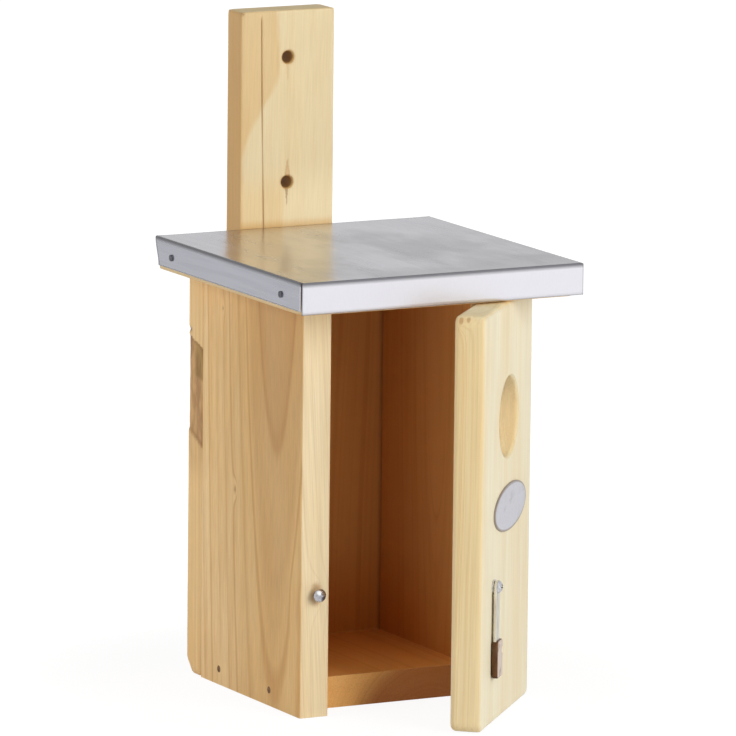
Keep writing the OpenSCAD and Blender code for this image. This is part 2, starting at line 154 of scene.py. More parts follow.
def board_grid(size, edge, corner, step, holes=(), a_fixed=(), b_fixed=(), side_step=2.0, cells=16):
    """A closed board: two face grids, rounded edge loops between them, and bored holes.

    A face point of the inset rectangle is pushed to a round corner by p = c + d |d|max / |d|,
    where c is the nearest point of the corner-free core and d = p - c. Side loop k lies edge *
    sin(f) outside the face's border and edge * (1 - cos(f)) below it, f running to 90 degrees.
    A hole's patch blends the square border s into the circle q as (1 - t) s + t q.
    holes are (a, b, radius, half patch width). Returns points (a, b, n), faces, outward
    directions, and how much each point belongs to a rounded edge, or BORE_MARK in a bore.
    """
    width, height, thick = size
    core = max(corner - edge, 0.25)
    squares = [(np.linspace(a - h, a + h, cells + 1), np.linspace(b - h, b + h, cells + 1))
               for a, b, _, h in holes]
    a_groups = list(np.unique(np.round([s[0] for s in squares], 5), axis=0))
    a_line = grid_lines(edge, width - edge, step, a_groups + list(a_fixed))
    b_line = grid_lines(edge, height - edge, step, [s[1] for s in squares] + list(b_fixed))
    na, nb = len(a_line), len(b_line)
    aa, bb = np.meshgrid(a_line, b_line, indexing="ij")
    flat = np.stack([aa.ravel(), bb.ravel()], 1)
    low = np.array([edge + core, edge + core])
    high = np.array([width, height]) - low
    middle = np.clip(flat, low, high)
    away = flat - middle
    length = np.linalg.norm(away, axis=1)
    reach = np.abs(away).max(1)
    unit = away / np.maximum(length, 1e-9)[:, None]
    flat = middle + unit * reach[:, None]

    index = np.arange(na * nb).reshape(na, nb)
    border = grid_border(index)
    keep = np.ones((na - 1, nb - 1), bool)
    patches = []
    for a_square, b_square in squares:
        i = int(np.argmin(np.abs(a_line - a_square[0])))
        j = int(np.argmin(np.abs(b_line - b_square[0])))
        keep[i:i + cells, j:j + cells] = False
        patches.append(grid_border(index[i:i + cells + 1, j:j + cells + 1]))
    quads = grid_quads(index)[keep.ravel()]

    count = na * nb
    up = np.tile(Z, (count, 1))
    points = [np.column_stack([flat, np.full(count, n)]) for n in (0.0, -thick)]
    out, soft = [up, -up], [np.zeros(2 * count)]
    faces = [quads, quads[:, ::-1] + count]
    total = 2 * count

    def add_ring(ring, n, outward, f, weight):
        """A loop of points at height n, whose directions are outward * sin(f) + up * cos(f)."""
        nonlocal total
        rows = len(ring)
        points.append(np.column_stack([ring, np.full(rows, n)]))
        out.append(np.column_stack([outward * np.sin(f), np.full(rows, np.cos(f))]))
        soft.append(np.full(rows, weight))
        total += rows
        return np.arange(total - rows, total)

    def band(first, second):
        """The quads between two loops of point numbers."""
        faces.append(np.stack([first, second, np.roll(second, -1), np.roll(first, -1)], 1))

    arcs = np.linspace(0, np.pi / 2, 5)[1:]
    depth = grid_lines(edge, thick - edge, side_step)[1:-1]
    profile = [(edge * np.sin(f), -edge * (1 - np.cos(f)), f) for f in arcs]
    profile += [(edge, -d, np.pi / 2) for d in depth]
    profile += [(edge * np.sin(f), -thick + edge * (1 - np.cos(f)), np.pi - f) for f in arcs[::-1]]
    last = border
    for outset, n, f in profile:
        now = add_ring(flat[border] + unit[border] * outset, n, unit[border], f, abs(np.sin(2 * f)))
        band(last, now)
        last = now
    band(last, border + count)

    lip = min(0.6, edge)
    angle = np.pi * 1.25 + 2 * np.pi * np.arange(4 * cells) / (4 * cells)
    circle = np.stack([np.cos(angle), np.sin(angle)], 1)
    bore = [(lip * np.cos(f), -lip * np.sin(f), f) for f in arcs]
    bore += [(0, -d, np.pi / 2) for d in grid_lines(lip, thick - lip, side_step)[1:-1]]
    bore += [(lip * np.cos(f), -thick + lip * np.sin(f), np.pi - f) for f in arcs[::-1]]
    bore.append((lip, -thick, np.pi))
    for (a, b, radius, _), square in zip(holes, patches):
        centre = np.array([a, b])
        rim = centre + circle * (radius + lip)
        patch = [(1 - share) * flat[square] + share * rim for share in np.linspace(0, 1, 9)[1:] ** 0.8]
        rings = [(ring, 0.0, 0.0, 0.0) for ring in patch]
        rings += [(centre + circle * (radius + outset), n, f, BORE_MARK) for outset, n, f in bore]
        rings += [(ring, -thick, np.pi, 0.0) for ring in patch[:-1][::-1]]
        last = square
        for ring, n, f, weight in rings:
            now = add_ring(ring, n, -circle, f, weight)
            band(now, last)
            last = now
        band(square + count, last)

    points, out, soft = np.concatenate(points), np.concatenate(out), np.concatenate(soft)
    faces = np.concatenate(faces)
    used, faces = np.unique(faces, return_inverse=True)
    return points[used], faces.reshape(-1, 4), out[used], soft[used]


def add_piece(name, points, faces, body, nodes, material, marks=None):
    """Puts points (row frame, mm) and faces into a new smooth mesh that stands for the CAD nodes."""
    mesh = bpy.data.meshes.new(name)
    mesh.from_pydata((points * MM).tolist(), [], list(map(list, faces)))
    for mark, values in (marks or {}).items():
        layer = mesh.attributes.new(mark, "FLOAT", "POINT")
        layer.data.foreach_set("value", np.asarray(values, np.float32))
    mesh.polygons.foreach_set("use_smooth", np.ones(len(mesh.polygons), bool))
    mesh.materials.append(material)
    mesh.validate()
    piece = bpy.data.objects.new(name, mesh)
    bpy.context.scene.collection.objects.link(piece)
    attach(piece, body)
    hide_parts(*nodes)
    return piece


def finish_node(node, material):
    """Gives a CAD node its material and leaves its mesh as it is."""
    mesh = frame["nodes"][node].data
    mesh.materials.clear()
    mesh.materials.append(material)


# Materials


class Graph:
    """Builds the nodes of a material or a world. A value is a number, a colour or a socket."""

    def __init__(self, owner, kind="Material"):
        owner.use_nodes = True
        self.owner = owner
        self.tree = owner.node_tree
        self.tree.nodes.clear()
        self.surface = self.node("Output" + kind).inputs["Surface"]
        self.place = self.node("TexCoord").outputs
        self.object = self.place["Object"]

    def feed(self, socket, value):
        """Links the value to an input, or sets the input to it."""
        if isinstance(value, bpy.types.NodeSocket):
            self.tree.links.new(value, socket)
        else:
            socket.default_value = (*value, 1.0) if socket.type == "RGBA" else value

    def node(self, kind, sockets=None, **settings):
        """A new shader node with these inputs and settings."""
        made = self.tree.nodes.new("ShaderNode" + kind)
        for key, value in settings.items():
            setattr(made, key, value)
        for key, value in (sockets or {}).items():
            self.feed(made.inputs[key], value)
        return made

    def math(self, operation, *values):
        """One scalar operation on the values."""
        return self.node("Math", dict(enumerate(values)), operation=operation).outputs[0]

    def plus(self, first, second):
        """first + second"""
        return self.math("ADD", first, second)

    def minus(self, first, second):
        """first - second"""
        return self.math("SUBTRACT", first, second)

    def times(self, first, *others):
        """The product of all the values."""
        for value in others:
            first = self.math("MULTIPLY", first, value)
        return first

    def vector(self, operation, *values):
        """One vector operation, which gives a vector or a number."""
        made = self.node("VectorMath", dict(enumerate(values)), operation=operation)
        return made.outputs["Value" if operation in ("LENGTH", "DOT_PRODUCT") else "Vector"]

    def dot(self, place, way):
        """The sum of the products of the parts of place and way."""
        return self.vector("DOT_PRODUCT", place, tuple(way))

    def facing(self, way, low=0.6, high=0.9, both=False):
        """1 on faces that look along the way, or with both also against it, and 0 on the others."""
        along = self.dot(self.place["Normal"], way)
        return self.step(self.math("ABSOLUTE", along) if both else along, low, high)

    def parts(self, vector):
        """The X, Y and Z of a vector."""
        return self.node("SeparateXYZ", {0: vector}).outputs

    def noise(self, place, stretch, detail=2.0, rough=0.5, output="Fac"):
        """Noise read at the place times the stretch, so a small stretch gives long patches."""
        stretched = self.vector("MULTIPLY", place, stretch)
        return self.node("TexNoise", {"Vector": stretched, "Scale": 1.0, "Detail": detail,
                                      "Roughness": rough}).outputs[output]

    def noise_1d(self, value, detail):
        """Noise along a line, read at the value."""
        return self.node("TexNoise", {"W": value, "Detail": detail}, noise_dimensions="1D").outputs["Fac"]

    def step(self, value, low, high, to_low=0.0, to_high=1.0, kind="SMOOTHSTEP"):
        """Runs from to_low at low to to_high at high and stays level outside; low may be above high."""
        values = dict(enumerate((value, low, high, to_low, to_high)))
        return self.node("MapRange", values, interpolation_type=kind).outputs["Result"]

    def ramp(self, value, stops):
        """The grey level that runs in straight lines from stop to stop."""
        made = self.node("ValToRGB", {"Fac": value})
        band = made.color_ramp
        while len(band.elements) < len(stops):
            band.elements.new(0.5)
        for element, (position, level) in zip(band.elements, stops):
            element.position = position
            element.color = (level, level, level, 1)
        return made.outputs["Color"]

    def mix(self, share, first, second, blend="MIX"):
        """(1 - share) first + share second, where another blend joins first to second."""
        sockets = {0: share, 6: first, 7: second}
        return self.node("Mix", sockets, data_type="RGBA", blend_type=blend).outputs[2]

    def tint(self, share, colour, by):
        """The colour times by, as far as the share goes."""
        return self.mix(share, colour, by, "MULTIPLY")

    def mark(self, name):
        """What the mesh's points are marked with under this name."""
        return self.node("Attribute", attribute_name=name).outputs["Fac"]

    def shade(self, height, strength, distance, sockets):
        """Ends in one principled shader with these inputs, whose surface the height roughens."""
        bump = self.node("Bump", {"Height": height, "Strength": strength, "Distance": distance})
        shader = self.node("BsdfPrincipled", {**sockets, "Normal": bump.outputs[0]})
        self.feed(self.surface, shader.outputs[0])
        return self.owner

    def blend(self, share, first, second):
        """Ends in the first shader, or in the second as far as the share goes."""
        both = self.node("MixShader", {0: share, 1: first.outputs[0], 2: second.outputs[0]})
        self.feed(self.surface, both.outputs[0])


def new_finish(name):
    """The graph of a new material."""
    return Graph(bpy.data.materials.new(name))


# How dark the wood is at each share of a ring: it darkens slowly and turns pale at once
LATE_WOOD = [(0.0, 0.0), (0.3, 0.06), (0.62, 0.4), (0.8, 1.0), (0.9, 0.75), (1.0, 0.0)]


def pine(name, lay, pith, lean, gap, phase=0.0, wander=2.5, uneven=0.7, knots_and_shade=(), hearts_and_shade=(),
         contrast=1.0, calm=0.55, streaks=0.6, mottle=1.0, seed=0.0, inner=False, zone=None,
         pale=(0.84, 0.68, 0.42), dark=(0.60, 0.38, 0.17), face=(1.0, 1.0, 1.0),
         edge=(1.0, 1.0, 1.0), end=(0.92, 0.80, 0.62)):
    """Sawn pine with growth rings that run through the board as they do in a log.

    The pith is a line at (a, n) = pith for b = 0 that leans by lean mm per mm of b, and noise
    bends it by up to wander mm. A point's ring is its distance from that line over the ring gap,
    plus the phase, plus noise times uneven. The colour runs from pale to dark by the late wood
    times contrast, and off the outer face times calm as well. Streaks and mottle are how strong
    the long dark patches and the fine fibres are.

    A knot is (centre in mm, axis, radius in mm). It adds 2.2 gap / (1 + s^2) to the distance
    within 20 mm of its face, s being the distance from its axis over its radius. A heart is
    (reach, blur, tint, "face" or "ends"): it tints what lies within reach mm of the pith, on the
    outer face or off both wide faces; on the floor's ends it is a painted shadow. Face, edge and
    end tint the wide faces, the long sides and the ends. Inner gives the box's inside a darker
    tint, partly the wood's own and partly painted shade, with painted light near the door and more
    painted shade towards the back, the floor and the corners. A zone is (width, low, high, tint):
    a stained strip at a = 0 that widens from b = low to high, above a foot with tints of its own,
    whose lowest end has painted shade.
    """
    wood = bpy.context.scene.nest_wood
    g = new_finish(name)
    a_axis, b_axis, n_axis = (Vector(axis) for axis in lay.axes)
    grain = (b_axis + a_axis * lean[0] + n_axis * lean[1]).normalized()
    side = (a_axis - grain * a_axis.dot(grain)).normalized()
    start = Vector(lay.place(np.array([pith[0], 0.0, pith[1]]))) * MM
    turn = Matrix((side, grain.cross(side), grain)).transposed().to_euler("XYZ")
    log = g.node("Mapping", {"Vector": g.object, "Location": start, "Rotation": turn,
                             "Scale": (MM, MM, MM)}, vector_type="TEXTURE").outputs["Vector"]
    shifted = g.vector("ADD", log, (seed * 37.0, seed * 11.0, seed * 53.0))
    drift = g.vector("SUBTRACT", g.noise(shifted, (0.013, 0.013, 0.0035), output="Color"), (0.5, 0.5, 0.5))
    bent = g.vector("ADD", log, g.vector("MULTIPLY", drift, (wander * 2, wander * 2, 0.0)))
    radius = g.vector("LENGTH", g.vector("MULTIPLY", bent, (1.0, 1.0, 0.0)))
    knot_and_shade_share = 0.0
    for centre, axis, size in knots_and_shade:
        off = g.vector("SUBTRACT", g.object, tuple(c * MM for c in centre))
        along = g.dot(off, axis)
        down = g.node("VectorMath", {0: axis, "Scale": along}, operation="SCALE").outputs["Vector"]
        beside = g.vector("MULTIPLY", g.vector("SUBTRACT", off, down), (1.0, 1.0, 0.6))
        span = g.math("DIVIDE", g.vector("LENGTH", beside), size * MM)
        swell = g.math("DIVIDE", 2.2 * gap, g.plus(1.0, g.math("POWER", span, 2.0)))
        radius = g.plus(radius, g.times(swell, g.step(along, -0.02, -0.004)))
        skin = g.step(along, -0.004, -0.0015)
        knot_and_shade_share = g.math("MAXIMUM", knot_and_shade_share, g.times(g.step(span, 1.0, 0.45), skin))
    ring = g.plus(g.math("DIVIDE", radius, gap), phase)
    if uneven:
        shift = g.minus(g.noise_1d(g.times(ring, 0.45), 0.0), 0.5)
        ring = g.plus(ring, g.times(shift, uneven * 2))
    late = g.ramp(g.math("FRACT", ring), LATE_WOOD)
    late = g.times(late, g.step(g.noise_1d(g.times(ring, 0.61), 1.0), 0.32, 0.7, 0.1, 1.15))
    outer = g.facing(n_axis, 0.5)
    late = g.times(late, g.plus(calm, g.times(outer, 1.0 - calm)))
    fibre = g.noise(shifted, (1.1, 1.1, 0.018), 3.0, 0.62)

    # Bare wood, then the tints of its faces, painted warmer light on its rear faces, its hearts (on the
    # floor's ends a painted shadow) and its stained zone
    cloud = g.noise(shifted, (0.03, 0.03, 0.006), 3.0)
    bare = g.mix(g.times(late, contrast * wood.ring_contrast), pale, dark)
    bare = g.tint(g.step(cloud, 0.35, 0.75, 0.0, 0.45), bare, (0.93, 0.80, 0.58))
    streak = g.step(g.noise(shifted, (0.09, 0.09, 0.0028), 3.0, 0.65), 0.42, 0.66, 0.0, streaks)
    for reach, blur, _, _ in hearts_and_shade:
        streak = g.times(streak, g.step(radius, reach - blur, reach + blur, 0.35, 1.0))
    bare = g.tint(streak, bare, (0.88, 0.79, 0.67))
    flat = g.facing(n_axis, 0.5, both=True)
    cut = g.facing(b_axis, both=True)
    colour = g.tint(1.0, bare, g.mix(cut, g.mix(flat, edge, face), end))
    # Rear faces get a warmer tint: painted light for faces that stand in shade
    colour = g.tint(g.facing(-n_axis, 0.5), colour, (1.09, 0.97, 0.88))
    # A heart on the floor's ends is a painted shadow of the open door
    for reach, blur, tint, where in hearts_and_shade:
        within = g.step(radius, reach + 1.0, reach - blur)
        share = outer if where == "face" else g.minus(1.0, flat)
        colour = g.tint(g.times(within, share), colour, tint)
    if zone:
        wide, low, high, tint = zone
        across = g.minus(g.times(g.dot(g.object, a_axis), 1 / MM), float(lay.origin @ lay.axes[0]))
        along = g.times(g.dot(g.object, b_axis), 1 / MM)
        lick = g.times(g.minus(g.noise(shifted, (0.09, 0.09, 0.02), 3.0, 0.6), 0.5), 12.0)
        border = g.plus(g.step(along, low, high, 0.0, wide), lick)
        within = g.step(g.minus(border, across), -2.0, 2.5)
        colour = g.tint(g.times(within, outer), colour, tint)
        foot = g.step(along, low + 5, low - 25)
        foot_tint = g.mix(g.step(across, 27.0, 33.0), (1.05, 0.96, 0.82), (1.13, 1.16, 1.21))
        colour = g.tint(g.times(foot, outer), colour, foot_tint)
        # Painted shade at the lowest end of the foot, where the batten meets the roof
        roof_shade = g.step(along, low - 33, low - 40)
        colour = g.tint(g.times(roof_shade, outer), colour, (0.88, 0.74, 0.58))
    grainy = g.step(fibre, 0.25, 0.75, 1.0 - 0.1 * mottle, 1.0 + 0.07 * mottle)
    colour = g.tint(1.0, colour, grainy)
    if knots_and_shade:
        swirl = g.noise(g.object, (900.0, 900.0, 500.0))
        core = g.mix(g.step(swirl, 0.3, 0.7), wood.knot, tuple(c * 0.6 for c in wood.knot))
        colour = g.mix(g.times(knot_and_shade_share, 0.6), colour, core)
    # Inside the box: a darker, redder tint, partly the wood's own and partly painted shade, with painted
    # light near the door and painted shade towards the back, near the floor and in the corners
    if inner:
        x, y, z = g.parts(g.object)
        x = g.math("ABSOLUTE", x)
        low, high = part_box("floor_board")
        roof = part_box("roof_board")[0].z
        near, skin, far = 0.0004, 0.0008, 0.0012
        inside = g.times(g.step(x, high.x + far, high.x + near), g.step(y, low.y + 0.0002, low.y + far),
                         g.step(y, high.y + far, high.y + near), g.step(z, high.z - far, high.z - near),
                         g.step(z, roof + far, roof + near))
        corner = g.math("MAXIMUM", g.minus(high.x + skin, x), g.minus(high.y + skin, y))
        deep = g.step(y, low.y + 0.02, high.y - 0.005)
        foot = g.times(g.step(z, high.z + 0.07, high.z), g.step(z, high.z, high.z + 0.001))
        shaded_inside = g.tint(1.0, bare, g.mix(deep, wood.inner_front_tint_and_light, wood.inner_back_tint_and_shade))
        shaded_inside = g.tint(g.step(corner, 0.004, 0.0, 0.0, 0.55), shaded_inside, (0.35, 0.25, 0.18))
        shaded_inside = g.tint(foot, shaded_inside, (0.92, 0.84, 0.66))
        shaded_inside = g.tint(g.times(foot, deep), shaded_inside, (0.94, 0.80, 0.60))
        colour = g.mix(inside, colour, shaded_inside)
    # Torn places, cracks and bores cover all of this
    torn = g.mark("torn")
    ragged = g.noise(shifted, (0.16, 0.16, 0.045), 3.0, 0.55)
    flesh = g.mix(g.step(ragged, 0.35, 0.7), wood.torn_dark, wood.torn_pale)
    # A darker, greyer band along a ledge of the torn place
    flesh = g.tint(g.mark("ledge_band"), flesh, (0.68, 0.69, 0.55))
    colour = g.mix(torn, colour, flesh)
    colour = g.mix(g.mark("split"), colour, wood.split)
    colour = g.mix(g.mark("bore"), colour, wood.bore)
    rough = g.step(g.plus(fibre, g.times(torn, 0.5)), 0.2, 0.9, 0.48, 0.66)
    relief = g.plus(g.times(late, 0.35), g.times(fibre, 0.65))
    relief = g.plus(relief, g.times(torn, ragged, 6.0))
    return g.shade(relief, 0.35, 0.00025, {"Base Color": colour, "Roughness": rough,
                                           "Specular IOR Level": 0.32})


def roof_sheet():
    """Bright sheet with rolling marks, clouds of painted darker reflection and dark fold lines of painted
    dark reflection.

    The top is darker where cloud noise + 0.9 x - 2.1 y is high, so mostly at the front right: painted darker
    reflection. The front flange is painted brighter and the side flanges a little darker and cooler: painted
    light and shade on one sheet.
    """
    look = bpy.context.scene.nest_sheet
    g = new_finish("roof_sheet_finish")
    marks = g.noise(g.object, (900.0, 14.0, 300.0), 3.0, 0.6)
    cloud = g.noise(g.object, (16.0, 9.0, 30.0), 4.0, 0.55)
    smear = g.noise(g.object, (45.0, 12.0, 60.0), 3.0, 0.6)
    bright = tuple(look.colour)
    front = g.facing(-Y)
    still = g.minus(1.0, g.times(front, 0.8))
    # Painted light: the front flange is a brighter copy of the sheet
    colour = g.mix(front, bright, tuple(min(c * 1.16, 1) for c in bright))
    # Painted darker reflection on the top, in clouds, mostly at the front right
    dull = g.step(g.plus(cloud, g.dot(g.object, (0.9, -2.1, 0.0))), 0.48, 0.72)
    colour = g.mix(g.times(dull, g.facing(Z)), colour, tuple(c * 0.72 for c in bright))
    colour = g.mix(g.times(g.step(marks, 0.35, 0.7, 0.0, 0.12), still), colour, (0.25, 0.25, 0.27))
    # Painted shade: the side flanges a little darker and cooler
    colour = g.tint(g.facing(X, both=True), colour, (0.89, 0.905, 0.93))
    # The fold lines are painted dark reflection, and lose their metal there
    fold = g.mark("fold")
    colour = g.mix(fold, colour, look.fold)
    shine = g.step(still, 0.2, 1.0, 0.7, 1.0)
    rough = g.step(smear, 0.25, 0.8, look.roughness - 0.03, look.roughness + 0.07)
    rough = g.plus(rough, g.step(still, 1.0, 0.2, 0.0, 0.15))
    relief = g.times(g.plus(g.times(marks, 0.4), g.times(smear, 2.0)), still)
    return g.shade(relief, 0.12, 0.0001, {"Base Color": colour, "Roughness": rough,
                                          "Metallic": g.times(shine, g.minus(1.0, fold))})


def metal(name, colour, dull, roughness, spread, stretch=(700.0, 700.0, 700.0), glints_and_patches=()):
    """Plated or bare metal: fine cloudy dulling over the bright colour, rough in the same places.

    Each glint patch is (direction, colour): a painted highlight when light and a painted dark reflection when
    dark, on the faces that look within about 25 degrees of the direction.
    """
    g = new_finish(name)
    cloud = g.noise(g.object, stretch, 4.0, 0.6)
    finish = g.mix(g.step(cloud, 0.3, 0.75), colour, dull)
    for way, tint in glints_and_patches:
        finish = g.mix(g.facing(Vector(way).normalized(), 0.9, 0.985), finish, tint)
    rough = g.step(cloud, 0.25, 0.8, roughness, roughness + spread)
    return g.shade(cloud, 0.1, 0.00005, {"Base Color": finish, "Metallic": 1.0, "Roughness": rough})


def grip_plastic():
    """Dark brown moulded grip, glossy, with a faint mottle and patches of painted pale glare on its outer
    face.
    """
    look = bpy.context.scene.nest_latch
    g = new_finish("grip_finish")
    mottle = g.noise(g.object, (420.0, 420.0, 160.0), 3.0, 0.6)
    glints_and_patches = g.step(g.noise(g.object, (150.0, 150.0, 90.0)), 0.5, 0.72)
    base = tuple(look.grip)
    colour = g.mix(g.step(mottle, 0.3, 0.7), base, tuple(c * 1.7 for c in base))
    colour = g.mix(g.times(glints_and_patches, 0.15), colour, (0.30, 0.20, 0.12))
    # Painted highlight: a pale glare in patches on the outer face
    glare = g.times(g.facing(DOOR_OUT, 0.6, 0.95), g.step(glints_and_patches, 1.0, 0.3, 0.35, 0.85))
    colour = g.mix(glare, colour, look.grip_glare)
    rough = g.step(mottle, 0.3, 0.8, 0.1, 0.2)
    return g.shade(mottle, 0.15, 0.0001, {"Base Color": colour, "Roughness": rough, "IOR": 1.33})


def plate_finish():
    """Satin aluminium plate with cloudy grey smudges and a darker rim, a painted dark reflection."""
    look = bpy.context.scene.nest_latch
    g = new_finish("plate_finish")
    cloud = g.noise(g.object, (60.0, 60.0, 75.0), 4.0, 0.62)
    speck = g.noise(g.object, (600.0, 600.0, 600.0))
    base = tuple(look.plate)
    colour = g.mix(g.step(cloud, 0.48, 0.72, 0.0, 0.55), base, tuple(c * 0.66 for c in base))
    colour = g.mix(g.step(speck, 0.35, 0.75, 0.0, 0.25), colour, (0.80, 0.80, 0.84))
    # The rim mark is a painted dark reflection
    colour = g.mix(g.mark("rim"), colour, look.plate_rim_shade)
    return g.shade(speck, 0.1, 0.00008, {"Base Color": colour, "Metallic": 0.55, "Roughness": 0.42})


# Settings


def a_colour(name, description, *default):
    """A colour that a user would change."""
    return FloatVectorProperty(name=name, description=description, default=default, subtype="COLOR")


def a_number(name, description, default, **limits):
    """A number that a user would change, at least 0 unless its limits say otherwise."""
    return FloatProperty(name=name, description=description, default=default, **{"min": 0, **limits})


class NestWood(PropertyGroup):
    ring_contrast: a_number("Ring contrast", "How dark the late wood of a ring is", 0.8, max=2,
                            subtype="FACTOR")
    edge_wear: a_number("Edge wear", "How deep the long edges are knocked, in mm", 0.2, max=1)
    knot: a_colour("Knot", "Colour of a knot's heart", 0.50, 0.25, 0.08)
    # The inner tints are partly the wood's own colour and partly painted light and shade: paler near the
    # door, darker at the back
    inner_back_tint_and_shade: a_colour("Inner tint", "Tint of the rough-sawn inner faces at the back", 0.80, 0.495, 0.245)
    inner_front_tint_and_light: a_colour("Inner tint, front", "Tint of the inner faces near the door", 1.02, 0.73, 0.46)
    torn_dark: a_colour("Torn wood, dark", "Dark fibres of the broken edge", 0.45, 0.25, 0.11)
    torn_pale: a_colour("Torn wood, pale", "Pale fibres of the broken edge", 0.72, 0.44, 0.20)
    bore: a_colour("Bore", "Colour of the wood inside the batten's holes", 0.50, 0.30, 0.11)
    split: a_colour("Split", "Colour inside cracks and splits", 0.20, 0.085, 0.03)


class NestSheet(PropertyGroup):
    colour: a_colour("Sheet", "Colour of the bright sheet", 0.67, 0.665, 0.71)
    # The fold colour is a painted dark reflection along the folds
    fold: a_colour("Fold", "Colour of the fold lines", 0.09, 0.09, 0.10)
    roughness: a_number("Roughness", "Roughness of the sheet", 0.23, max=1)
    wave: a_number("Waves", "Height of the sheet's soft waves, in mm", 0.22, max=1)
    slit: a_number("Corner slit", "Gap left at the folded front corners, in mm", 1.7, min=0.5, max=4)
    rear_slant: a_number("Rear slant", "How far the side flanges' rear ends are cut back at the bottom,"
                         " in mm", 4.5, max=8)


class NestLatch(PropertyGroup):
    grip: a_colour("Grip", "Colour of the moulded grip", 0.075, 0.030, 0.010)
    # The grip's glare colour is a painted highlight on its outer face
    grip_glare: a_colour("Grip, rubbed", "Colour of the grip's rubbed outer face", 0.62, 0.50, 0.41)
    plate: a_colour("Plate", "Colour of the oval plate", 0.60, 0.60, 0.65)
    # The plate rim colour is a painted dark reflection
    plate_rim_shade: a_colour("Plate rim", "Colour of the plate's rim", 0.34, 0.29, 0.26)


class NestStage(PropertyGroup):
    floor: a_colour("Floor", "Colour of the floor", 0.86, 0.86, 0.86)
    room: a_number("Room light", "Brightness of the white room around", 0.36, max=2)
    far_side: a_number("Far side", "How bright metal sees the room behind the box", 0.72, max=1)
    key: a_number("Main light", "Power of the main soft light", 88.0, unit="POWER")
    fill: a_number("Fill light", "Power of the soft light from the left", 31.0, unit="POWER")
    lens: a_number("Lens", "Focal length on a 36 mm sensor, in mm", 421.685, min=20)
    camera_at: FloatVectorProperty(name="Camera", description="Place of the camera", subtype="XYZ",
                                   unit="LENGTH", default=(-2.469489, -4.742028, 1.139542))
    camera_turn: FloatVectorProperty(name="Camera angles", description="Heading from +Y towards +X, downward"
                                     " tilt and roll of the camera, in degrees",
                                     default=(27.6319, 9.9305, 0.6224))


# Operators


class NEST_OT_planks(Operator):
    """Gives the walls and the floor, whose solids stay as they are, their pine"""
    bl_idname = "nest.planks"
    bl_label = "Walls and floor"

    def execute(self, context):
        left = Lay("left_wall", -Y, Z)
        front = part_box("left_wall")[0].y / MM
        screw = sum(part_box("catch_screw"), Vector()) / 2 / MM
        finish_node("left_wall", pine(
            "left_wall_pine", left, pith=(104.0, -84.0), lean=(0.0, 0.05), gap=7.4, phase=0.58, wander=1.2,
            uneven=0.0, contrast=0.75, calm=0.3, streaks=1.3, seed=1.0, inner=True,
            face=(1.17, 1.07, 0.95), edge=(1.0, 1.04, 1.12),
            hearts_and_shade=[(129.0, 50.0, (0.80, 0.72, 0.59), "face"), (82.8, 3.0, (0.89, 0.85, 0.83), "face"),
                    (76.0, 3.0, (0.92, 0.89, 0.87), "face")],
            # The last knot, at the catch screw, is partly painted shade around the screw head and partly torn
            # fibres
            knots_and_shade=[((-74, 12.3, 129.5), tuple(-X), 1.9), ((-74, 31.1, 241.9), tuple(-X), 1.1),
                   ((screw.x, front, screw.z), tuple(-Y), 5.6)]))
        right = Lay("right_wall", Y, Z)
        finish_node("right_wall", pine(
            "right_wall_pine", right, pith=(40.0, -70.0), lean=(0.01, 0.02), gap=4.0, calm=0.3,
            streaks=0.3, seed=2.0, inner=True, face=(0.99, 0.88, 0.74)))
        floor = Lay("floor_board", -X, Y)
        # The floor's heart darkens the right part of its ends: a painted shadow of the open door
        finish_node("floor_board", pine(
            "floor_pine", floor, pith=(26.0, 22.0), lean=(0.0, 0.0), gap=3.2, calm=0.35, streaks=0.3,
            seed=3.0, inner=True, pale=(0.98, 0.76, 0.42), dark=(0.72, 0.42, 0.16),
            edge=(1.17, 0.92, 0.66), end=(1.03, 0.787, 0.522),
            hearts_and_shade=[(62.0, 20.0, (0.54, 0.38, 0.34), "ends")]))
        return {"FINISHED"}


def worn_board(lay, edge, corner, seed, step=2.0, **shape):
    """A board grid whose rounded edges are knocked back by up to the wear, in long soft dents.

    A point moves inwards by weight * wear * (0.45 + 0.35 long ripple + 0.2 short ripple).
    """
    points, faces, out, soft = board_grid(lay.size, edge, corner, step, **shape)
    wear = bpy.context.scene.nest_wood.edge_wear
    long_dents = ripple(points * [1, 0.35, 1], 26, seed)
    short_dents = ripple(points * [1, 0.5, 1], 7, seed + 1)
    depth = soft * wear * (0.45 + 0.35 * long_dents + 0.2 * short_dents).clip(0)
    return points - out * depth[:, None], faces, soft


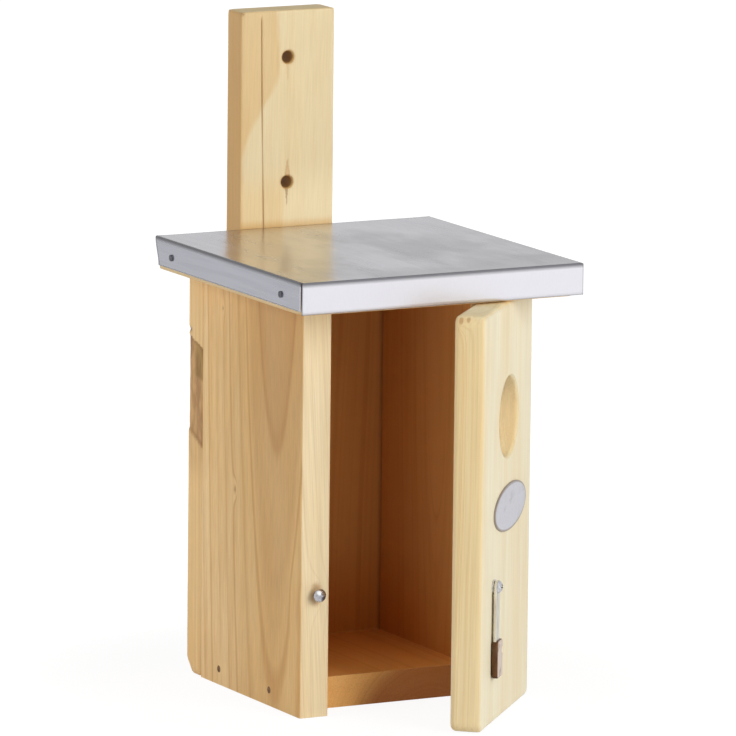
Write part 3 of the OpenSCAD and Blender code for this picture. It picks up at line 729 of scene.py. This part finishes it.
class NEST_OT_back_panel(Operator):
    """Makes the back panel with the torn place, the nick and the chipped corner of its left edge"""
    bl_idname = "nest.back_panel"
    bl_label = "Back panel"

    def execute(self, context):
        lay = Lay("back_panel", X, Z)
        fine_rows = np.linspace(140, 226, 73)
        points, faces, _ = worn_board(lay, edge=1.5, corner=1.7, seed=11, step=2.2, side_step=1.25,
                                      b_fixed=[fine_rows])
        a, b, n = points.T
        # The torn place rises towards the rear: its foot by 9 mm and its head by 6 mm in 20
        foot = 148 - n * 9 / 20
        head = 212 - n * 6 / 20
        fringe = 0.8 * ripple(points * [0, 0, 1.0], 9, 12)
        torn = smooth(b, foot - 0.8 + fringe, foot + 1.6 + fringe)
        torn = torn * (1 - smooth(b, head - 1.0 + fringe, head + 0.6 + fringe))
        torn = torn * (1 - smooth(a, 2.5, 5.5))
        fibre = 0.7 * ripple(points * [1, 0.15, 1], 7, 13) + 0.3 * ripple(points * [1, 0.3, 1], 3, 14)
        sink = torn * (0.7 + 0.3 * fibre.clip(-1, 1)) * (1 - smooth(a, 0.5, 6))
        # A nick above it, a torn tail below it and dark rims at both of its ends, painted shade along its
        # steps
        nick = bell(b, 221.3, 1.6) * smooth(-n, 13, 19) * (1 - smooth(a, 0, 4))
        tail = smooth(b, 118, 147) * (1 - smooth(b, foot, foot + 2)) * (1 - smooth(a, 1.5, 4))
        rim = bell(b, head - 1.2, 1.1) + 0.8 * bell(b, foot + 1.5, 1.3)
        rim = rim * (1 - smooth(a, 0.6, 3)) * 0.45
        # A column is a view of the points, so moving it moves them, and what follows reads it moved
        a += sink + nick
        chip = smooth(11 - b, 0, 11) * smooth(-n, 8, 20) * (1 - smooth(a, 0, 9))
        a += 1.8 * chip
        n += 3.0 * chip
        # A darker, greyer band along a ledge of the torn place
        ledge = 191 - 0.15 * n + fringe
        ledge_band = torn * smooth(b, ledge - 1.5, ledge + 1.5) * smooth(n, -14, -9)
        marks = {"torn": np.clip(torn + 0.35 * tail, 0, 1), "ledge_band": ledge_band,
                 "split": np.clip(nick + rim, 0, 1)}
        wood = pine("back_panel_pine", lay, pith=(60.0, 70.0), lean=(0.0, -0.02), gap=5.2,
                    contrast=0.45, calm=1.6, streaks=0.3, seed=4.0, inner=True, edge=(1.14, 0.99, 0.79))
        add_piece("back_panel_board", lay.place(points), faces, "box", ["back_panel"], wood, marks)
        return {"FINISHED"}


class NEST_OT_batten(Operator):
    """Makes the hanging batten with its two splintered holes and its long crack"""
    bl_idname = "nest.batten"
    bl_label = "Hanging batten"

    def execute(self, context):
        lay = Lay("hanging_batten", X, Z)
        mount = MOUNTS["hanging_holes"]
        middle = lay.local(mount["pos_m"])
        radius = mount["dims"]["hole_r_mm"]
        rise = mount["dims"]["spacing_y_mm"] / 2
        spots = [(middle[0], middle[1] + side * rise) for side in (-1, 1)]
        crack = 14.5
        crack_lines = crack + np.array([-0.75, -0.32, 0.0, 0.32, 0.75])
        points, faces, soft = worn_board(
            lay, edge=1.0, corner=1.2, seed=21, step=2.2, side_step=2.2, a_fixed=[crack_lines],
            holes=[(a, b, radius, 11.0) for a, b in spots], cells=32)
        a, b, n = points.T
        # The crack runs down the face beside the holes and leans and wanders a little
        face = smooth(n, -1.0, -0.2)
        near = np.abs(a - crack) < 0.8
        run = smooth(b, 262, 290) * (1 - smooth(b, 414, 419))
        split = near * bell(a, crack, 0.28) * run * face
        split = split * (0.72 + 0.28 * ripple(points * [0, 1, 0], 40, 25).clip(-1, 1))
        n -= 1.3 * split
        lean = 0.015 * (415 - b) - 0.3 + 0.35 * ripple(points * [0, 1, 0], 90, 22)
        a += lean * (1 - np.abs(a - crack) / 13).clip(0) * face
        # Both holes have ragged rims. Wood is torn above the lower and below the upper hole, and
        # a split runs down from the lower one
        rag = np.zeros(len(points))
        for (hole_a, hole_b), lower, seed in zip(spots, (True, False), (26, 27)):
            da, db = a - hole_a, b - hole_b
            reach = np.hypot(da, db)
            outside = reach > radius * 0.8
            taper = np.clip((db + 13.5) / 9.5, 0, 1)
            below = (db < 0) & outside & (taper > 0) & (np.abs(da + 0.2) < 0.25 + 0.8 * taper)
            taper = np.clip((16.5 - db) / 11.0, 0, 1)
            above = (db > 0) & outside & (taper > 0) & (np.abs(da - 0.3) < 0.1 + 1.7 * taper)
            rim = 1 - smooth(reach, radius + 0.1, radius + 2.2)
            rim = rim * (0.55 + 0.45 * ripple(points, 5, seed).clip(-1, 1))
            if lower:
                ragged = 0.75 * above + 0.6 * rim
                split = np.maximum(split, face * 0.8 * below)
            else:
                ragged = 0.6 * rim + 0.4 * below
            rag = np.maximum(rag, face * np.clip(ragged, 0, 1))
        bore = (soft == BORE_MARK) & (n < -0.4)
        n -= 0.5 * rag + 0.4 * (split > 0.3) * face * (near == 0)
        chip = bell(a, 0.9, 1.3) * bell(b, lay.size[1] - 1.2, 1.1) * (n > -2)
        n -= 0.5 * chip
        marks = {"torn": rag * 0.8, "split": np.clip(split * 0.66 + chip * 0.7, 0, 1), "bore": 0.9 * bore}
        wood = pine("batten_pine", lay, pith=(24.0, -60.0), lean=(0.02, -0.03), gap=7.0,
                    contrast=0.06, calm=4.0, streaks=0.25, mottle=0.5, seed=5.0,
                    zone=(26.0, 322.0, 386.0, (0.92, 0.81, 0.67)),
                    pale=(0.76, 0.645, 0.42), dark=(0.68, 0.49, 0.26), edge=(0.94, 0.72, 0.50),
                    end=(1.0, 0.95, 0.84))
        add_piece("hanging_batten_board", lay.place(points), faces, "box", ["hanging_batten"],
                  wood, marks)
        return {"FINISHED"}


class NEST_OT_roof_board(Operator):
    """Makes the board under the sheet, with its rear end cut at a slant as the flanges are"""
    bl_idname = "nest.roof_board"
    bl_label = "Roof board"

    def execute(self, context):
        lay = Lay("roof_board", X, Y)
        points, faces, _ = worn_board(lay, edge=1.0, corner=1.2, seed=31, step=4.0)
        width, depth, thick = lay.size
        a, b, n = points.T
        b -= context.scene.nest_sheet.rear_slant * smooth(b, depth - 12, depth) * (-n / thick)
        # The two front corners are blunted, so that they stay out of the sheet's slits
        blunt, reach = 3.5, 9
        for side, inset in ((1, a), (-1, width - a)):
            corner = (1 - smooth(inset, 0.5, reach)) * (1 - smooth(b, 0.5, reach))
            a += side * blunt * corner
            b += blunt * corner
        wood = pine("roof_pine", lay, pith=(60.0, -60.0), lean=(0.0, 0.01), gap=3.4, seed=6.0, inner=True)
        add_piece("roof_board_plank", lay.place(points), faces, "box", ["roof_board"], wood)
        return {"FINISHED"}


class NEST_OT_roof_cover(Operator):
    """Folds the sheet over the roof board: a top, a front flange and two side flanges"""
    bl_idname = "nest.roof_cover"
    bl_label = "Sheet-metal cover"

    def execute(self, context):
        look = context.scene.nest_sheet
        low, high = (np.array(c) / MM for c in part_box("roof_cover"))
        # The sheet's thickness, the radius of its folds and the height of its side flanges
        sheet_t, fold, side_flange = 0.6, 1.0, 18.2
        top = high[2]
        xs = np.linspace(low[0] + fold, high[0] - fold, 79)
        xs = np.concatenate([xs[:1], xs[:1] + 0.8, xs[1:-1], xs[-1:] - 0.8, xs[-1:]])
        ys = np.linspace(low[1] + fold, high[1], 79)
        aa, bb = np.meshgrid(xs, ys, indexing="ij")
        grid = np.stack([aa, bb, np.full_like(aa, top)], -1).reshape(-1, 3)
        index = np.arange(len(grid)).reshape(len(xs), len(ys))
        # The top's side columns carry the fold mark: painted dark reflection along the side folds
        edge_mark = np.zeros((len(xs), len(ys)))
        edge_mark[[0, -1]] = 0.7
        points, fold_mark, quads = [grid], [edge_mark.ravel()], [grid_quads(index)]
        turns = np.linspace(0, np.pi / 2, 6)[1:]
        total = len(grid)

        def flange(border, outward, depth, ends, end_mark=0.0):
            """Rows that turn over the fold's arc, then run straight down; ends trims each row's ends."""
            nonlocal total
            # The arc rows carry the full fold mark, a painted dark reflection along each fold
            rows = [(fold * np.sin(f), fold * (1 - np.cos(f)), 1.0) for f in turns]
            rows += [(fold, d, 0.0) for d in np.linspace(fold, depth, 9)[1:]]
            last = border
            for reach, drop, mark in rows:
                row = grid[border] + outward * reach - Z * drop
                ends(row, reach, drop)
                points.append(row)
                row_mark = np.full(len(row), mark)
                row_mark[[0, -1]] = max(mark, end_mark)
                fold_mark.append(row_mark)
                now = np.arange(total, total + len(row))
                total += len(row)
                quads.append(np.stack([last[:-1], now[:-1], now[1:], last[1:]], 1))
                last = now

        def front_ends(row, reach, drop):
            """Widens the row by its reach at both ends, in proportion to the way from its middle."""
            share = (row[:, 0] - xs[0]) / (xs[-1] - xs[0]) * 2 - 1
            row[:, 0] += share * reach

        def side_ends(row, reach, drop):
            """Moves the front end back by the slit, and the rear end forward by the slant."""
            share = (row[:, 1] - ys[0]) / (ys[-1] - ys[0])
            front = (1 - share) * look.slit * min(1.0, reach / fold)
            back = share * look.rear_slant * smooth(drop, 1.0, side_flange)
            row[:, 1] += front * smooth(1 - share, 0.9, 1.0) - back * smooth(share, 0.9, 1.0)

        # The front flange's ends carry 0.6 of the fold mark: painted shade in the corner slits
        flange(index[:, 0], -Y, top - low[2], front_ends, 0.6)
        flange(index[0, ::-1], -X, side_flange, side_ends)
        flange(index[-1, :], X, side_flange, side_ends)
        points, fold_mark = np.concatenate(points), np.concatenate(fold_mark)
        # Soft waves sink the top away from its folds, and fainter ones press the front flange in
        x, y, z = points.T
        wave = look.wave * (0.5 + 0.5 * ripple(points * [1, 1, 0.5], 95, 41)).clip(0, 1)
        inner = smooth(x, low[0] + 1, low[0] + 14) * (1 - smooth(x, high[0] - 14, high[0] - 1))
        inner = inner * smooth(y, low[1] + 1, low[1] + 14)
        z -= wave * inner * (z > top - 0.01)
        pressed = 0.05 * (0.5 + 0.5 * ripple(points, 60, 42)).clip(0, 1)
        y += pressed * (y < low[1] + 0.01)
        cover = add_piece("roof_cover_sheet", points, np.concatenate(quads), "box", ["roof_cover"],
                          roof_sheet(), {"fold": fold_mark * 0.9})
        solid = cover.modifiers.new("sheet thickness", "SOLIDIFY")
        solid.thickness = sheet_t * MM
        solid.offset = -1
        return {"FINISHED"}


class NEST_OT_door(Operator):
    """Makes the door board with its rounded edges and its entrance hole"""
    bl_idname = "nest.door"
    bl_label = "Door"

    def execute(self, context):
        lay = Lay("door_board", DOOR_ACROSS, Z)
        mount = MOUNTS["entrance_hole"]
        a, b, _ = lay.local(mount["pos_m"])
        points, faces, _ = worn_board(lay, edge=3.0, corner=5.2, seed=51, step=2.0, side_step=2.0,
                                      holes=[(a, b, mount["dims"]["r_mm"], 32.0)], cells=32)
        knots_and_shade = [(tuple(lay.place(np.array(at))), tuple(-DOOR_ACROSS), size)
                 for at, size in (((0.0, 257.8, -15.8), 1.8), ((0.0, 258.6, -11.2), 1.5))]
        # The end tint is lighter than the faces: painted light on the top end, which the roof shades
        wood = pine("door_pine", lay, pith=(40.0, -95.0), lean=(0.0, 0.012), gap=6.4, knots_and_shade=knots_and_shade,
                    contrast=0.13, calm=3.4, streaks=0.25, mottle=0.6, seed=7.0, pale=(0.78, 0.715, 0.535),
                    dark=(0.68, 0.53, 0.31), edge=(1.05, 0.93, 0.73), end=(1.15, 1.08, 0.90))
        add_piece("door_leaf_board", lay.place(points), faces, "door", ["door_board"], wood)
        return {"FINISHED"}


class NEST_OT_plate(Operator):
    """Makes the oval plate with a rolled rim"""
    bl_idname = "nest.plate"
    bl_label = "Oval plate"

    def execute(self, context):
        lay = Lay("oval_plate", DOOR_ACROSS, Z)
        width, height, thick = lay.size
        rounds, rim = 96, 0.5
        # Ovals from the rear edge over the rolled rim to the dished middle, as (inset, n)
        rows = [(0.12, -thick), (0.0, -thick + 0.2)]
        rows += [(rim * (1 - math.cos(f)), -rim * (1 - math.sin(f))) for f in np.linspace(0, np.pi / 2, 6)]
        rows += [(rim + 0.5, -0.04), (rim + 1.2, -0.04)]
        reach = min(width, height) / 2
        rows += [(d, -0.16 * smooth(d, 1.0, 3.5)) for d in np.linspace(2.2, reach * 0.98, 12)]
        angle = np.linspace(0, 2 * np.pi, rounds, endpoint=False)
        centre = np.array([width / 2, height / 2])
        points, mark = [], []
        for inset, n in rows:
            squeeze = width / height if inset > 3 else 1
            shape = np.stack([(width / 2 - inset * squeeze) * np.cos(angle),
                              (height / 2 - inset) * np.sin(angle)], 1)
            points.append(np.column_stack([centre + shape, np.full(rounds, n)]))
            # The rim mark, strongest on the rolled rim, is a painted dark reflection
            mark.append(np.full(rounds, 1 - smooth(inset, 0.7, 1.8)))
        points = np.concatenate([*points, [[*centre, -thick], [*centre, rows[-1][1]]]])
        mark = np.concatenate([*mark, [1, 0]])
        ids = np.arange(len(rows) * rounds).reshape(len(rows), rounds)
        after = np.roll(ids, -1, 1)
        rear, front = np.full((2, rounds), [[len(points) - 2], [len(points) - 1]])
        quads = np.stack([ids[:-1], after[:-1], after[1:], ids[1:]], -1).reshape(-1, 4)
        front_fan = np.stack([ids[-1], after[-1], front], 1)
        rear_fan = np.stack([after[0], ids[0], rear], 1)
        add_piece("oval_plate_disc", lay.place(points), [*quads, *front_fan, *rear_fan], "door",
                  ["oval_plate"], plate_finish(), {"rim": mark})
        return {"FINISHED"}


class NEST_OT_latch(Operator):
    """Makes the latch arm and its moulded grip, and finishes the washer and the two screws"""
    bl_idname = "nest.latch"
    bl_label = "Latch"

    def execute(self, context):
        arm = Lay("latch_arm", DOOR_ACROSS, Z)
        points, faces, _, _ = board_grid(arm.size, edge=0.45, corner=3.9, step=1.0, side_step=0.6)
        add_piece("latch_arm_strip", arm.place(points), faces, "latch", ["latch_arm"],
                  metal("arm_zinc", (0.80, 0.77, 0.68), (0.60, 0.55, 0.46), 0.26, 0.2, (300.0, 300.0, 60.0)))
        grip = Lay("latch_grip", DOOR_ACROSS, Z)
        points, faces, _, _ = board_grid(grip.size, edge=1.3, corner=2.6, step=0.7, side_step=0.7)
        # The notch takes the catch screw's neck: sqrt(r^2 - db^2) deep at the grip's far side
        width, height, _ = grip.size
        notch_b, notch_r = height - 7.22, 2.35
        a, b, _ = points.T
        bite = np.sqrt(np.clip(notch_r ** 2 - (b - notch_b) ** 2, 0, None))
        a -= bite * smooth(a, width * 0.45, width)
        add_piece("latch_grip_moulding", grip.place(points), faces, "latch", ["latch_grip"],
                  grip_plastic())
        zinc = metal("bright_zinc", (0.74, 0.74, 0.76), (0.40, 0.40, 0.42), 0.2, 0.18)
        for node in ("latch_washer", "latch_pivot_screw"):
            finish_node(node, zinc)
        # Painted highlight on faces that look up and ahead, painted dark reflection on faces that look down
        # and right
        glints_and_patches = [((-0.25, -0.8, 0.5), (1.0, 1.0, 1.0)), ((0.3, -0.8, -0.35), (0.12, 0.13, 0.15))]
        finish_node("catch_screw", metal("catch_zinc", (0.62, 0.62, 0.66), (0.36, 0.36, 0.38), 0.2, 0.18,
                                         glints_and_patches=glints_and_patches))
        return {"FINISHED"}


class NEST_OT_fasteners(Operator):
    """Finishes the nails, the screws and the hinges, whose solids stay as they are"""
    bl_idname = "nest.fasteners"
    bl_label = "Nails, screws and hinges"

    def execute(self, context):
        plated = metal("hinge_zinc", (0.66, 0.66, 0.68), (0.42, 0.42, 0.43), 0.22, 0.2, (260.0, 260.0, 120.0))
        steel = metal("dull_steel", (0.30, 0.30, 0.32), (0.16, 0.15, 0.15), 0.35, 0.25)
        own = {"cover_nails": metal("cover_nail_steel", (0.20, 0.20, 0.23), (0.09, 0.09, 0.11), 0.3, 0.25),
               "floor_nails": metal("stained_nail", (0.30, 0.17, 0.08), (0.14, 0.07, 0.035), 0.45, 0.2)}
        for node in frame["nodes"]:
            if "leaf" in node or "screws" in node:
                finish_node(node, plated)
            elif "nails" in node or "pin" in node.split("_"):
                finish_node(node, own.get(node, steel))
        return {"FINISHED"}


class NEST_OT_stage(Operator):
    """Sets the floor, the white room, the soft lights and the camera"""
    bl_idname = "nest.stage"
    bl_label = "Stage"

    def room(self, look):
        """A softly lighting world that the camera sees white, and metal dimmer behind the box."""
        world = bpy.data.worlds.new("white_room")
        g = Graph(world, "World")
        ray = g.node("LightPath").outputs
        camera = ray["Is Camera Ray"]
        seen = g.math("MAXIMUM", camera, ray["Is Glossy Ray"])
        seen = g.math("MAXIMUM", seen, ray["Is Transmission Ray"])
        behind = g.step(g.parts(g.place["Generated"])["Y"], -0.6, 0.6, 1.0, look.far_side, "LINEAR")
        strength = g.math("MAXIMUM", behind, camera)
        lit = g.node("Background", {"Color": (1.0, 0.99, 0.975), "Strength": look.room})
        shown = g.node("Background", {"Color": (1.0, 1.0, 1.0), "Strength": strength})
        g.blend(seen, lit, shown)
        return world

    def paint(self, look):
        """Matt paint, seen white by the camera, dimmer by metal, and with shadow near the box."""
        g = new_finish("pale_floor_paint")
        ray = g.node("LightPath").outputs
        camera = ray["Is Camera Ray"]
        near, far = 0.15, 0.34
        share = g.times(g.step(g.vector("LENGTH", g.object), near, far, 0.85, 1.0),
                        g.math("MAXIMUM", camera, ray["Is Glossy Ray"]))
        behind = g.step(g.parts(g.object)["Y"], -0.5, 0.5, 1.0, look.far_side, "LINEAR")
        strength = g.math("MAXIMUM", behind, g.times(camera, 1.08))
        matt = g.node("BsdfDiffuse", {"Color": look.floor})
        g.blend(share, matt, g.node("Emission", {"Strength": strength}))
        return g.owner

    def stand(self, data, at, turn):
        """Puts a lamp or the camera into the scene at a place, turned by a quaternion."""
        thing = bpy.data.objects.new(data.name, data)
        bpy.context.scene.collection.objects.link(thing)
        thing.matrix_world = Matrix.LocRotScale(Vector(at), turn, None)
        return thing

    def soft_light(self, name, at, size, power):
        """A rectangular lamp that looks at the middle of the box and isn't mirrored in metal."""
        data = bpy.data.lights.new(name, "AREA")
        data.shape = "RECTANGLE"
        data.size, data.size_y = size
        data.energy = power
        middle = Vector((0.0, -0.03, 0.2))
        lamp = self.stand(data, at, (middle - Vector(at)).to_track_quat("-Z", "Y"))
        lamp.visible_glossy = False

    def execute(self, context):
        scene = context.scene
        look = scene.nest_stage
        scene.view_settings.view_transform = "Standard"
        scene.world = self.room(look)

        span, level = 9.0, -0.0003
        mesh = bpy.data.meshes.new("pale_floor")
        corners = [(x * span, y * span, level) for x, y in ((-1, -1), (1, -1), (1, 1), (-1, 1))]
        mesh.from_pydata(corners, [], [(0, 1, 2, 3)])
        mesh.materials.append(self.paint(look))
        floor = bpy.data.objects.new("pale_floor", mesh)
        scene.collection.objects.link(floor)

        self.soft_light("main_light", (1.35, -3.0, 1.25), (2.2, 2.4), look.key)
        self.soft_light("fill_light", (-3.0, -0.4, 1.1), (1.8, 1.8), look.fill)

        lens = bpy.data.cameras.new("photo_camera")
        lens.sensor_width = 36
        lens.lens = look.lens
        lens.clip_start, lens.clip_end = 0.1, 60
        heading, tilt, roll = (math.radians(angle) for angle in look.camera_turn)
        ahead = Vector((math.sin(heading) * math.cos(tilt), math.cos(heading) * math.cos(tilt),
                        -math.sin(tilt)))
        right = Vector((math.cos(heading), -math.sin(heading), 0))
        up = right.cross(ahead)
        right, up = (right * math.cos(roll) + up * math.sin(roll),
                     up * math.cos(roll) - right * math.sin(roll))
        turn = Matrix((right, up, -ahead)).transposed().to_quaternion()
        scene.camera = self.stand(lens, look.camera_at, turn)
        return {"FINISHED"}


class NEST_PT_sidebar(Panel):
    """Lists the nest box's pieces and settings"""
    bl_label = "Nest box"
    bl_idname = "NEST_PT_sidebar"
    bl_space_type = "VIEW_3D"
    bl_region_type = "UI"
    bl_category = "Nest box"

    def draw(self, context):
        for step in STEPS:
            self.layout.operator(step.bl_idname)
        for group in GROUPS:
            box = self.layout.box()
            settings = getattr(context.scene, group)
            for name in settings.__annotations__:
                box.prop(settings, name)


GROUPS = {"nest_wood": NestWood, "nest_sheet": NestSheet, "nest_latch": NestLatch, "nest_stage": NestStage}
STEPS = (NEST_OT_stage, NEST_OT_planks, NEST_OT_back_panel, NEST_OT_batten, NEST_OT_roof_board,
         NEST_OT_roof_cover, NEST_OT_door, NEST_OT_plate, NEST_OT_latch, NEST_OT_fasteners)
CLASSES = (*GROUPS.values(), *STEPS, NEST_PT_sidebar)


def register():
    for cls in CLASSES:
        bpy.utils.register_class(cls)
    for name, group in GROUPS.items():
        setattr(bpy.types.Scene, name, PointerProperty(type=group))


def unregister():
    for name in GROUPS:
        delattr(bpy.types.Scene, name)
    for cls in reversed(CLASSES):
        bpy.utils.unregister_class(cls)


def main():
    register()
    for step in STEPS:
        area, action = step.bl_idname.split(".")
        getattr(getattr(bpy.ops, area), action)()


if __name__ == "__main__":
    main()
